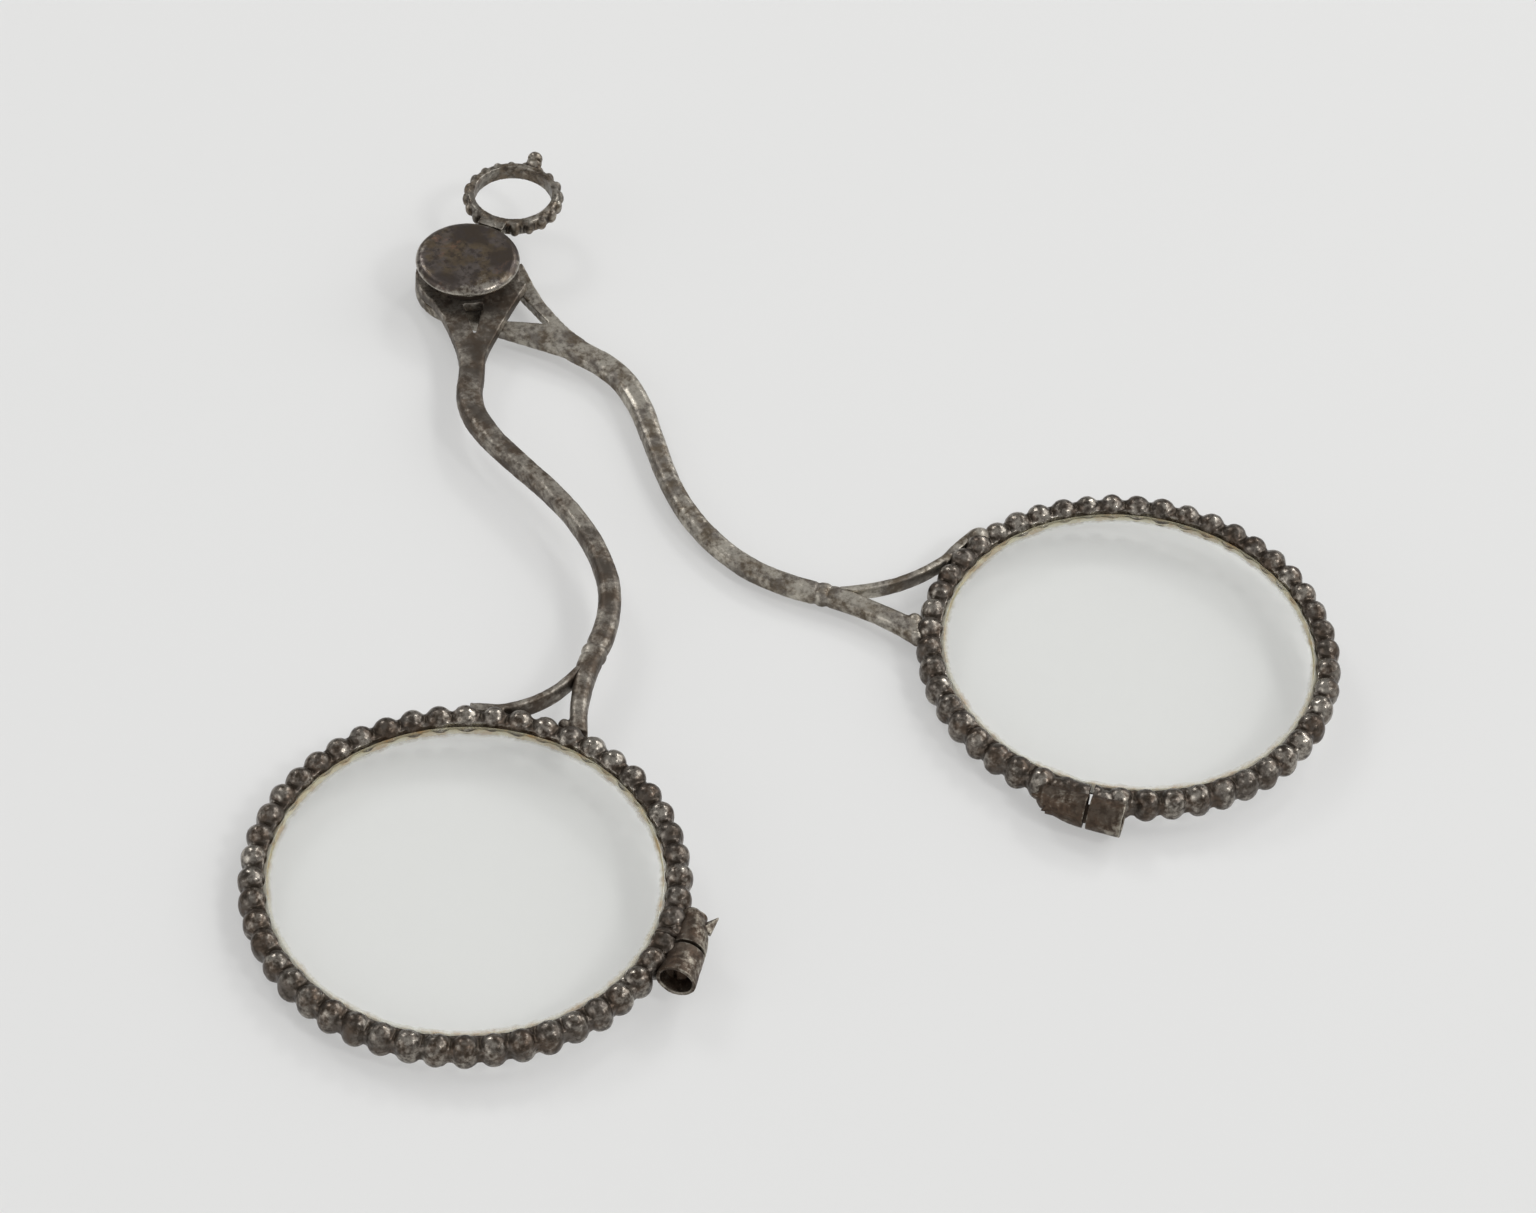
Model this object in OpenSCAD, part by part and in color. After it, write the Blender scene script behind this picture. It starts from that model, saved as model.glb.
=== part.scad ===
// Scissors spectacles: two beaded iron rims on forked, S-curved arms that
// swing like scissors about one riveted hub with a suspension ring.
// Millimetres. The pivot is the Z axis, the hub's flat underside is Z = 0 and
// the arms lie open towards -Y.

/* [Open pose] */
// distance from the pivot to the middle of each lens, in mm
arm_length = 88.8; // [80:0.2:100]
// angle between each arm and the middle line, as the spectacles lie open, in degrees
open_half_angle = 25.9; // [20:0.1:40]

/* [Lenses and rims] */
// clear width inside a rim, in mm
rim_inner_d = 39.8; // [36:0.2:42]
// height of a rim, over its beads, in mm
rim_height = 3.8; // [3.4:0.1:4.2]
// number of beads in a full turn of a rim
bead_count = 48; // [44:1:50]
// width of one bead, in mm
bead_d = 2.66; // [2.3:0.02:2.7]
// thickness of a lens in the middle, in mm
lens_middle_t = 1.2; // [0.9:0.1:1.5]
// thickness of a lens at its edge, in mm
lens_edge_t = 1.6; // [1.5:0.1:1.9]

/* [Arms] */
// thickness of an arm's bar, in mm
bar_t = 2.4; // [2:0.1:2.6]
// width of an arm's bar next to its head, in mm
bar_w = 3; // [2.6:0.05:3.3]
// distance from the pivot to the place where an arm's two straps meet its bar, in mm
head_reach = 13.2; // [12.4:0.1:14]
// thickness of the flat head of an arm, in mm
head_t = 1.3; // [1.1:0.05:1.5]
// thickness of the strap that braces an arm against its rim, in mm
brace_t = 1; // [0.9:0.1:1.2]

/* [Hub] */
// width of the cap, in mm
hub_d = 11.7; // [11:0.1:12.4]
// thickness of the cap, in mm
cap_t = 0.95; // [0.85:0.05:1.1]
// thickness of the base, in mm
base_t = 0.6; // [0.5:0.05:0.8]
// thickness of the washer between the cap and the upper arm, in mm
upper_washer_t = 1.8; // [1.5:0.1:1.9]
// thickness of the washer between the base and the lower arm, in mm
lower_washer_t = 0.2; // [0.2:0.05:0.4]
// width of the rivet the arms turn on, in mm
rivet_d = 3; // [2.4:0.1:3.6]
// free play between the rivet and the bore of an arm, on each side, in mm
rivet_play = 0.05; // [0.03:0.01:0.08]
// free play between an arm's head and its neighbours in the stack, in mm
stack_play = 0.05; // [0.03:0.01:0.08]

/* [Suspension ring] */
// clear width of the ring a ribbon is tied to, in mm
ring_inner_d = 8.8; // [8:0.1:10]
// height of the ring, in mm
ring_height = 2; // [1.6:0.1:2.4]
// direction of the ring from the pivot, turned from +X, in degrees
ring_angle = 39; // [30:1:100]
// number of ribs round the outside of the ring
rib_count = 20; // [16:1:22]

/* [Closing barrels] */
// width of the barrel that closes each rim, in mm
barrel_d = 3.6; // [3.2:0.1:3.7]
// length of a barrel, in mm
barrel_length = 9.2; // [8:0.1:10]
// width of the closing screw's shank, in mm
screw_d = 2; // [1.8:0.1:2.2]
// width of the slot between the two halves of a barrel, in mm
slot_w = 0.35; // [0.2:0.05:0.5]

/* [Hidden] */
layer_play = 0.1;
hub_r = hub_d / 2;
base_r = hub_r - 1.15;
rivet_r = rivet_d / 2;
head_bottom = base_t + lower_washer_t + stack_play;
head_top = head_bottom + head_t;
split_z = head_top + stack_play / 2;
rim_z = split_z - layer_play - rim_height / 2;
cap_bottom = split_z + stack_play / 2 + head_t + stack_play + upper_washer_t;
hub_height = cap_bottom + cap_t;
cap_bevel = 0.45;
head_r = hub_r + 0.05;
eye_r = 4.9;
washer_r = 4.4;
strap_top = 1.5;

// Outer edges of the two straps of a fork, the one nearer the middle line first:
// [share of bar_w at the bar, share of head_r at the disc, power of its curve, start].
upper_edges = [[0.6, 0.82, 1.2, 1.5], [0.33, 0.77, 1.6, 1.5]];
lower_edges = [[0.6, 0.65, 1, 1.5], [0.27, 1.11, 1.65, 2.8]];
upper_end = 1.06 * head_reach;
lower_end = 1.21 * head_reach;

// Window between the straps: [share of head_r aside, share of head_reach from the pivot].
upper_window = [[-0.136, 0.757], [0.12, 0.3], [-0.32, 0.3]];
lower_window = [[0.068, 0.856], [0.415, 0.379], [0.475, 0.288], [-0.49, 0.288], [-0.49, 0.424], [-0.39, 0.538]];

rim_inner_r = rim_inner_d / 2;
bead_r = bead_d / 2;
bead_ring_r = rim_inner_r + bead_r + 0.02;
rim_crest_r = bead_ring_r + bead_r;
band_outer_r = rim_crest_r - 0.68;
band_half_h = rim_height / 2 - 0.8;
band_round = 0.6;
groove_depth = 0.55;
seat_r = rim_crest_r - 0.38;
lens_r_half = 0.05;
lens_r = rim_inner_r + groove_depth - lens_r_half;
lens_land_r = rim_inner_r + groove_depth - lens_edge_t / 2;
lens_sag = (lens_edge_t - lens_middle_t) / 2;
lens_curve_r = (lens_land_r * lens_land_r + lens_sag * lens_sag) / (2 * lens_sag);
barrel_r = barrel_d / 2;
barrel_axis_r = rim_crest_r + 0.52;
barrel_at = 110;
slot_at = 0.8;
slot_angle = barrel_at + atan(slot_at / barrel_axis_r);
screw_r = screw_d / 2;

ring_inner_r = ring_inner_d / 2;
ring_band_r = ring_inner_r + 0.95;
rib_r = 0.62;
ring_crest_r = ring_band_r - 0.15 + rib_r;
ring_offset = hub_r + ring_crest_r + 0.45;
ring_z = hub_height - ring_height - 0.3;
ring_neck_w = 3;
ball_r = 0.87;
ball_z = hub_height - 0.1;

foot_at = 29;
foot_r = seat_r + 0.72;
foot_side = foot_r * sin(foot_at);
foot_along = arm_length - foot_r * cos(foot_at);
bar_start = head_reach - 2.1;

// Lower run of an arm: [widening of the bar towards the rim, half of the angle its foot covers,
// thinning of the bar, bow towards the middle line half way down, the same next to the fork].
left_run = [0, 2.9, 0, 0, 0.15];
right_run = [0.06, 4.2, 0.35, 0.25, 0];
// Brace: [place of its root on the bar, bow, depth let into the rim, angle of its landing, angle of its end].
left_landing = [16, 1, 0.8, 7, 1];
right_landing = [15.45, 0.8, 0.38, 1, -10.5];

// Middle line of the bar, from the head to the foot on the rim:
// [share of the way to the foot, share of the foot's distance aside, share of bar_w].
bar_line = [
    [0, 0.05, 0.98], [0.0555, 0.045, 0.96], [0.0971, 0.038, 0.975], [0.1418, 0.02, 1],
    [0.1926, 0.056, 0.967], [0.2411, 0.164, 0.917], [0.2851, 0.308, 0.867], [0.3421, 0.536, 0.817],
    [0.4006, 0.776, 0.783], [0.4615, 0.992, 0.767], [0.527, 1.168, 0.767], [0.5948, 1.284, 0.783],
    [0.661, 1.34, 0.817], [0.7165, 1.328, 0.833], [0.7758, 1.264, 0.85], [0.8244, 1.172, 0.833],
    [0.869, 1.103, 0.8], [0.9176, 1.062, 0.667], [0.963, 1.035, 0.633], [1, 1.03, 0.633],
    [1.02, 1.034, 0.633]
];
collar_at = 14.95;

// Middle line of the brace between its two ends: [share of the way, share of it aside].
brace_line = [
    [0, 0], [0.15, -0.054], [0.3, -0.093], [0.45, -0.112], [0.6, -0.11], [0.75, -0.088], [0.88, -0.05], [1, 0]
];

bead_step = 360 / bead_count;
$fn = 64;

// Cubic through four neighbouring entries of a list.
function cubic(a, b, c, d, t) =
    0.5 * (2 * b + (c - a) * t + (2 * a - 5 * b + 4 * c - d) * t * t + (3 * b - a - 3 * c + d) * t * t * t);

function line_at(list, u) =
    let (n = len(list) - 1, i = min(floor(u), n - 1), t = u - i)
    cubic(list[max(i - 1, 0)], list[i], list[i + 1], list[min(i + 2, n)], t);

function unit(v) = v / norm(v);

// Rounded section, w wide and t thick, as 12 points round it: squarer for a lower power.
function section(w, t, power) = [
    for (k = [0:11])
        let (a = k * 30 + 15, c = cos(a), s = sin(a))
        [w / 2 * sign(c) * pow(abs(c), power), t / 2 * sign(s) * pow(abs(s), power)]
];

// Solid swept along stations, each one [x, y, z, heading x, heading y, width, thickness, power].
module sweep(stations) {
    n = len(stations);
    points = [
        for (s = stations)
            let (h = unit([s[3], s[4]]))
            for (p = section(s[5], s[6], s[7]))
                [s[0] - h[1] * p[0], s[1] + h[0] * p[0], s[2] + p[1]]
    ];
    sides = [
        for (i = [0:n - 2], k = [0:11])
            let (a = i * 12 + k, b = i * 12 + (k + 1) % 12)
            each [[a, a + 12, b], [b, a + 12, b + 12]]
    ];
    ends = [
        for (k = [1:10])
            each [[0, k, k + 1], [(n - 1) * 12, (n - 1) * 12 + k + 1, (n - 1) * 12 + k]]
    ];
    polyhedron(points = points, faces = concat(sides, ends), convexity = 6);
}

// Change of the bar's width at the turned collar between its two grooves, as a share of bar_w.
function collar(u) = let (d = abs(u - collar_at)) d < 0.1 ? 0.07 : (d > 0.18 && d < 0.32 ? -0.13 : 0);

function bar_point(u, run) =
    let (
        p = line_at(bar_line, u),
        half_way = pow(sin(180 * min(u / 16, 1)), 3),
        at_fork = max(0, 1 - abs(u - 14) / 4)
    )
    [
        -p[1] * foot_side - run[3] * half_way - run[4] * at_fork,
        -bar_start - p[0] * (foot_along - bar_start),
        p[2] + run[0] * max(0, u - 16)
    ];

function bar_station(u, run) =
    let (
        p = bar_point(u, run),
        q = bar_point(min(u + 0.02, len(bar_line) - 1), run),
        o = bar_point(max(u - 0.02, 0), run),
        share = min(u / 16, 1),
        growth = min(u / 5, 1),
        full_t = bar_t - 0.15 - run[2] * min(u / 12, 1),
        t = (1 - growth) * head_t + growth * full_t,
        mid_z = (1 - share) * (head_top - t / 2) + share * rim_z
    )
    [
        p[0], p[1], mid_z, q[0] - o[0], q[1] - o[1],
        (p[2] + collar(u)) * bar_w, t + collar(u) * bar_w / 2, 0.2 + 0.42 * min(u / 3, 1)
    ];

module bar(run) {
    stations = concat(
        [for (i = [0:36]) i * 0.39],
        [14.45, 14.62, 14.7, 14.78, 14.86, 14.88, 15.02, 15.04, 15.12, 15.2, 15.28, 15.45],
        [for (i = [0:9]) 15.75 + i * 0.47]
    );
    sweep([for (u = stations) bar_station(min(u, len(bar_line) - 1), run)]);
}

// Distance aside of a strap's outer edge at distance a from the pivot.
function strap_edge(edge, end, a) =
    edge[0] * bar_w + edge[1] * head_r * pow(max(0, (end - a) / (end - strap_top)), edge[2]);

// Both straps in one outline, each ending in a blunt ear where it leaves the round of the head.
module strap_outline(edges, end) {
    steps = 12;
    ear = [0.6, 0.4];
    near = [
        for (i = [0:steps])
            let (a = edges[0][3] + i * (end - edges[0][3]) / steps)
            [-strap_edge(edges[0], end, a), -a]
    ];
    far = [
        for (i = [steps:-1:0])
            let (a = edges[1][3] + i * (end - edges[1][3]) / steps)
            [strap_edge(edges[1], end, a), -a]
    ];
    polygon(concat([near[0] + ear], near, far, [far[steps] + [-ear[0], ear[1]]]));
}

// Flat head of an arm: disc and eye, two straps and the window between them.
module head(edges, end, window) {
    difference() {
        union() {
            cylinder(h = head_t, r = head_r);
            linear_extrude(height = head_t)
                strap_outline(edges, end);
        }
        difference() {
            translate([0, 0, -1])
                linear_extrude(height = head_t + 2)
                    polygon([for (p = window) [p[0] * head_r, -p[1] * head_reach]]);
            translate([0, 0, -2])
                cylinder(h = head_t + 4, r = eye_r);
        }
        translate([0, 0, -1])
            cylinder(h = head_t + 2, r = rivet_r + rivet_play);
    }
}

// Piece of a ring about the middle of a rim, between two angles.
module rim_arc(r0, r1, h, a0, a1) {
    translate([0, -arm_length, rim_z - h / 2])
        rotate([0, 0, 90 + a0])
            rotate_extrude(angle = a1 - a0)
                translate([r0, 0])
                    square([r1 - r0, h]);
}

module arm(edges, end, window, run) {
    difference() {
        union() {
            translate([0, 0, head_bottom])
                head(edges, end, window);
            bar(run);
        }
        translate([0, -arm_length, rim_z - rim_height])
            cylinder(h = 2 * rim_height, r = seat_r, $fn = 240);
    }
}

// Strap from the bar to the rim, closing the triangle of the fork.
module brace(place, run) {
    inner_r = rim_crest_r - place[2];
    mid_r = inner_r + brace_t / 2;
    start = bar_point(place[0], run);
    root = [start[0] + 0.24 * bar_w, start[1]];
    landing = [-mid_r * sin(place[3]), mid_r * cos(place[3]) - arm_length];
    way = landing - root;
    last = len(brace_line) - 1;
    line = [for (p = brace_line) root + p[0] * way + place[1] * p[1] * [-way[1], way[0]]];
    difference() {
        union() {
            sweep([
                for (i = [0:3 * last])
                    let (
                        p = line_at(line, i / 3),
                        q = line_at(line, min(i / 3 + 0.05, last)),
                        o = line_at(line, max(i / 3 - 0.05, 0))
                    )
                    [p[0], p[1], rim_z, q[0] - o[0], q[1] - o[1], brace_t, bar_t - 0.1 - run[2], 0.62]
            ]);
            rim_arc(inner_r, inner_r + brace_t, bar_t - 0.3 - run[2], place[4], place[3] + 3);
        }
        bar(run);
    }
}

module bead() {
    rotate_extrude()
        intersection() {
            union() {
                translate([-bead_r, bead_r - rim_height / 2])
                    square([2 * bead_r, rim_height - 2 * bead_r]);
                for (s = [-1, 1])
                    translate([0, s * (rim_height / 2 - bead_r)])
                        circle(r = bead_r);
            }
            translate([0, -rim_height])
                square([rim_height, 2 * rim_height]);
        }
}

module barrel_place() {
    rotate([0, 0, 90 + barrel_at])
        translate([barrel_axis_r, 0, 0])
            rotate([-90, 0, 0])
                children();
}

// Beaded rim about its own middle, hub side at +Y, cut through at the barrel.
module rim(run, place) {
    difference() {
        union() {
            rotate_extrude()
                translate([rim_inner_r, 0])
                    union() {
                        translate([0, -band_half_h])
                            square([band_outer_r - rim_inner_r - band_round, 2 * band_half_h]);
                        translate([0, band_round - band_half_h])
                            square([band_outer_r - rim_inner_r, 2 * (band_half_h - band_round)]);
                        for (s = [-1, 1])
                            translate([band_outer_r - rim_inner_r - band_round, s * (band_half_h - band_round)])
                                circle(r = band_round);
                    }
            for (i = [0:bead_count - 1])
                if (abs(i * bead_step - slot_angle) > bead_step / 2)
                    rotate([0, 0, i * bead_step])
                        translate([0, bead_ring_r, 0])
                            bead();
        }
        rotate_extrude()
            polygon([
                [rim_inner_r - 1, -groove_depth - 1], [rim_inner_r + groove_depth, 0],
                [rim_inner_r - 1, groove_depth + 1]
            ]);
        barrel_place()
            translate([0, 0, -barrel_length / 2])
                cylinder(h = barrel_length, r = barrel_r);
        barrel_place()
            translate([rim_inner_r - barrel_axis_r - 1, -rim_height, slot_at - slot_w / 2])
                cube([barrel_axis_r - rim_inner_r + 1, 2 * rim_height, slot_w]);
        translate([0, arm_length, -rim_z])
            rim_arc(seat_r, rim_crest_r + 1, rim_height + 1, foot_at + 0.8 - run[1], foot_at + 0.8 + run[1]);
        translate([0, arm_length, -rim_z])
            rim_arc(rim_crest_r - place[2], rim_crest_r + 1, rim_height + 1, place[4] - 0.8, place[3] + 5);
    }
}

// Half thickness of a lens at distance x from its middle.
function lens_face(x) = lens_middle_t / 2 + lens_curve_r - sqrt(lens_curve_r * lens_curve_r - x * x);

// Weak distance lens, hollow on both faces, its edge ground to fit the groove.
module lens() {
    steps = 12;
    face = [for (i = [0:steps]) let (x = i * lens_land_r / steps) [x, lens_face(x)]];
    rotate_extrude()
        polygon(concat(
            face,
            [[lens_r, lens_r_half], [lens_r, -lens_r_half]],
            [for (i = [steps:-1:0]) [face[i][0], -face[i][1]]]
        ));
}

// Half of a barrel with the open end, where the screw goes in.
module open_knuckle() {
    barrel_place()
        difference() {
            translate([0, 0, slot_at + slot_w / 2])
                cylinder(h = barrel_length / 2 - slot_at - slot_w / 2, r = barrel_r);
            cylinder(h = barrel_length, r = screw_r);
            translate([0, 0, 2.4])
                cylinder(h = barrel_length, r = barrel_r - 0.35);
        }
}

// Half of a barrel that is closed at its end and takes the screw's thread.
module closed_knuckle() {
    barrel_place()
        difference() {
            union() {
                translate([0, 0, 0.5 - barrel_length / 2])
                    cylinder(h = barrel_length / 2 - 0.5 + slot_at - slot_w / 2, r = barrel_r);
                translate([0, 0, -barrel_length / 2])
                    cylinder(h = 0.5, r1 = barrel_r - 0.5, r2 = barrel_r);
            }
            translate([0, 0, 0.9 - barrel_length / 2])
                cylinder(h = barrel_length, r = screw_r);
        }
}

module closing_screw() {
    barrel_place()
        difference() {
            union() {
                translate([0, 0, 1.2 - barrel_length / 2])
                    cylinder(h = barrel_length / 2 + 1.3, r = screw_r);
                translate([0, 0, 2.4])
                    cylinder(h = 1.3, r = barrel_r - 0.45);
            }
            translate([-0.2, -barrel_r, 3.3])
                cube([0.4, barrel_d, 1]);
        }
}

module washer(bottom, t) {
    difference() {
        translate([0, 0, bottom])
            cylinder(h = t, r = washer_r);
        translate([0, 0, bottom - 1])
            cylinder(h = t + 2, r = rivet_r);
    }
}

module right_place() {
    rotate([0, 0, open_half_angle])
        children();
}

// The left half is the right half turned over about the middle line.
module left_place() {
    translate([0, 0, 2 * split_z])
        rotate([0, 180, 0])
            rotate([0, 0, open_half_angle])
                children();
}

module at_rim() {
    translate([0, -arm_length, rim_z])
        children();
}

module hub_cap() {
    color([0.36, 0.33, 0.31])
        difference() {
            union() {
                translate([0, 0, cap_bottom])
                    cylinder(h = 0.12, r1 = hub_r - 0.12, r2 = hub_r);
                translate([0, 0, cap_bottom + 0.12])
                    cylinder(h = cap_t - 0.12 - cap_bevel, r = hub_r);
                translate([0, 0, hub_height - cap_bevel])
                    cylinder(h = cap_bevel, r1 = hub_r, r2 = hub_r - cap_bevel - 0.1);
            }
            translate([0, 0, cap_bottom - 1])
                cylinder(h = 1.5, r = rivet_r);
        }
}

module hub_base() {
    color([0.34, 0.31, 0.29])
        difference() {
            union() {
                cylinder(h = 0.15, r1 = base_r - 0.15, r2 = base_r);
                translate([0, 0, 0.15])
                    cylinder(h = base_t - 0.15, r = base_r);
            }
            translate([0, 0, -1])
                cylinder(h = base_t + 2, r = rivet_r);
            translate([0, 0, -0.01])
                cylinder(h = 0.41, r1 = rivet_r + 0.6, r2 = rivet_r);
        }
}

module pivot_rivet() {
    color([0.4, 0.37, 0.35])
        union() {
            translate([0, 0, 0.02])
                cylinder(h = cap_bottom + 0.48, r = rivet_r);
            translate([0, 0, 0.02])
                cylinder(h = 0.38, r1 = rivet_r + 0.55, r2 = rivet_r);
        }
}

module upper_washer() {
    color([0.2, 0.18, 0.17])
        washer(cap_bottom - upper_washer_t, upper_washer_t);
}

module lower_washer() {
    color([0.2, 0.18, 0.17])
        washer(base_t, lower_washer_t);
}

// Ribbed ring with the neck that is brazed to the edge of the cap.
module suspension_ring() {
    color([0.36, 0.33, 0.31])
        rotate([0, 0, ring_angle])
            difference() {
                union() {
                    translate([ring_offset, 0, ring_z])
                        cylinder(h = ring_height, r = ring_band_r);
                    for (i = [0:rib_count - 1])
                        translate([ring_offset, 0, ring_z + 0.15])
                            rotate([0, 0, (i + 0.5) * 360 / rib_count])
                                translate([ring_band_r - 0.15, 0, 0])
                                    cylinder(h = ring_height - 0.3, r = rib_r);
                    translate([hub_r - 1, -ring_neck_w / 2, cap_bottom + 0.1])
                        cube([ring_offset - hub_r + 1 - ring_inner_r - 0.3, ring_neck_w, cap_t - 0.35]);
                }
                translate([ring_offset, 0, 0])
                    cylinder(h = 2 * hub_height, r = ring_inner_r);
                cylinder(h = 2 * hub_height, r = hub_r);
            }
}

module ring_ball() {
    color([0.4, 0.37, 0.34])
        rotate([0, 0, ring_angle])
            difference() {
                translate([ring_offset + ring_band_r + ball_r - 0.25, 0, ball_z])
                    sphere(r = ball_r);
                translate([ring_offset, 0, 0])
                    cylinder(h = 2 * hub_height, r = ring_band_r);
                for (i = [-0.5, 0.5])
                    translate([ring_offset, 0, 0])
                        rotate([0, 0, i * 360 / rib_count])
                            translate([ring_band_r - 0.15, 0, 0])
                                cylinder(h = 2 * hub_height, r = rib_r);
            }
}

module left_arm() {
    color([0.36, 0.33, 0.31])
        left_place()
            arm(upper_edges, upper_end, upper_window, left_run);
}

module right_arm() {
    color([0.36, 0.33, 0.31])
        right_place()
            arm(lower_edges, lower_end, lower_window, right_run);
}

module left_brace() {
    color([0.33, 0.3, 0.28])
        left_place()
            brace(left_landing, left_run);
}

module right_brace() {
    color([0.33, 0.3, 0.28])
        right_place()
            brace(right_landing, right_run);
}

module left_rim() {
    color([0.31, 0.28, 0.26])
        left_place()
            at_rim()
                rim(left_run, left_landing);
}

module right_rim() {
    color([0.31, 0.28, 0.26])
        right_place()
            at_rim()
                rim(right_run, right_landing);
}

module left_lens() {
    color([0.88, 0.92, 0.9, 0.35])
        left_place()
            at_rim()
                lens();
}

module right_lens() {
    color([0.88, 0.92, 0.9, 0.35])
        right_place()
            at_rim()
                lens();
}

module left_open_knuckle() {
    color([0.34, 0.3, 0.28])
        left_place()
            at_rim()
                open_knuckle();
}

module right_open_knuckle() {
    color([0.34, 0.3, 0.28])
        right_place()
            at_rim()
                open_knuckle();
}

module left_closed_knuckle() {
    color([0.34, 0.3, 0.28])
        left_place()
            at_rim()
                closed_knuckle();
}

module right_closed_knuckle() {
    color([0.34, 0.3, 0.28])
        right_place()
            at_rim()
                closed_knuckle();
}

module left_closing_screw() {
    color([0.45, 0.42, 0.4])
        left_place()
            at_rim()
                closing_screw();
}

module right_closing_screw() {
    color([0.45, 0.42, 0.4])
        right_place()
            at_rim()
                closing_screw();
}

hub_cap();
hub_base();
pivot_rivet();
upper_washer();
lower_washer();
suspension_ring();
ring_ball();
left_arm();
left_brace();
left_rim();
left_lens();
left_open_knuckle();
left_closed_knuckle();
left_closing_screw();
right_arm();
right_brace();
right_rim();
right_lens();
right_open_knuckle();
right_closed_knuckle();
right_closing_screw();
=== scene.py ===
# Folding scissors spectacles of forged iron, lying open on a pale studio table.
import math

import bmesh
import bpy
from mathutils import Matrix, Vector


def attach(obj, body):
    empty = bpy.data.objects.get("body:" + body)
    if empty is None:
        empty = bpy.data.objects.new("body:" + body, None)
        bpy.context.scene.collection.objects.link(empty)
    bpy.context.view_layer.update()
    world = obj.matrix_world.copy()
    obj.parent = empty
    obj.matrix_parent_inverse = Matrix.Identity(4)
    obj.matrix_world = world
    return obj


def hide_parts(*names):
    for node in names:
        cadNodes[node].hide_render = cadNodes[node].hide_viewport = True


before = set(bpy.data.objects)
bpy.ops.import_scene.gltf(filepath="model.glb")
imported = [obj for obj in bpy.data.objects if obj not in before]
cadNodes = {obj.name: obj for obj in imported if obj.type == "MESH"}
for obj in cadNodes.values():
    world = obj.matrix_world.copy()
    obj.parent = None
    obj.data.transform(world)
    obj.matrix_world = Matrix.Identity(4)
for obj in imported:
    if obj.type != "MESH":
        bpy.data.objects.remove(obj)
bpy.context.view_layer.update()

mm = 0.001
samePoint = {"copied": 1e-6, "turned": 1e-7}  # points nearer than this become one, in metres
noiseMiddle = 0.5  # the value that a noise swings about


def linear(hexColour):
    values = [int(hexColour[i:i + 2], 16) / 255 for i in (1, 3, 5)]
    return [v / 12.92 if v <= 0.04045 else ((v + 0.055) / 1.055) ** 2.4 for v in values] + [1.0]


def addNode(tree, kind, inputs=(), **settings):
    # a node among the inputs stands for its first output
    node = tree.nodes.new(kind)
    for key, value in settings.items():
        setattr(node, key, value)
    for key, value in dict(inputs).items():
        if isinstance(value, bpy.types.Node):
            value = value.outputs[0]
        if isinstance(value, bpy.types.NodeSocket):
            tree.links.new(value, node.inputs[key])
        else:
            node.inputs[key].default_value = value
    return node


def newMaterial(name):
    material = bpy.data.materials.new(name)
    material.use_nodes = True
    material.node_tree.nodes.clear()
    return material, material.node_tree


# Camera, at the angle the photograph was taken from.
cameraSetup = {
    "place": (-0.1595, -0.3349, 0.348275),
    "forward": (0.3515, 0.5838, -0.7318),
    "up": (0.3222, 0.6585, 0.6801),
    "focalLength": 104.93, "sensorWidth": 36, "nearest": 0.01, "farthest": 20,
}


def makeCamera():
    data = bpy.data.cameras.new("camera")
    data.lens = cameraSetup["focalLength"]
    data.sensor_width = cameraSetup["sensorWidth"]
    data.clip_start = cameraSetup["nearest"]
    data.clip_end = cameraSetup["farthest"]
    camera = bpy.data.objects.new("camera", data)
    bpy.context.scene.collection.objects.link(camera)
    back = -Vector(cameraSetup["forward"]).normalized()
    side = Vector(cameraSetup["up"]).cross(back).normalized()
    turn = Matrix((side, back.cross(side), back)).transposed().to_4x4()
    camera.matrix_world = Matrix.Translation(cameraSetup["place"]) @ turn
    bpy.context.scene.camera = camera


makeCamera()
print("camera placed")


# Table and light. The table touches the hub's edge and both rims. The left rim is folded
# over the right one's layer, so in this frame the table leans by three degrees.
tableSetup = {
    "size": 2.4, "height": -0.00027, "slopeX": -0.0516, "slopeY": 0.0083,
    "colour": "#e6e6e5", "roughness": 0.9, "shine": 0.15,
    "glow": 0.45, "glowColour": "#e4e4e3",
}
lightSetup = {
    "worldColour": "#fafafa", "worldStrength": 0.53, "shownColour": "#e4e4e3",
    "backShare": 0.58, "backFrom": 0.05, "backTo": 0.65,
    "lamps": [
        # name, place, size, watts
        ("keyFromRight", (1.42, -0.18, 0.93), 1.45, 9.6),
        ("fillFromLeft", (-1.42, -0.08, 0.51), 1.50, 5.4),
        ("windowBackRight", (1.17, 0.60, 1.05), 0.30, 3.6),
        ("windowBackLeft", (-0.15, 1.10, 1.05), 0.45, 3.6),
        ("boxFrontRight", (0.63, -0.99, 1.11), 0.33, 4.05),
    ],
    "aim": (0.0, -0.055, 0.0),
}


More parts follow.
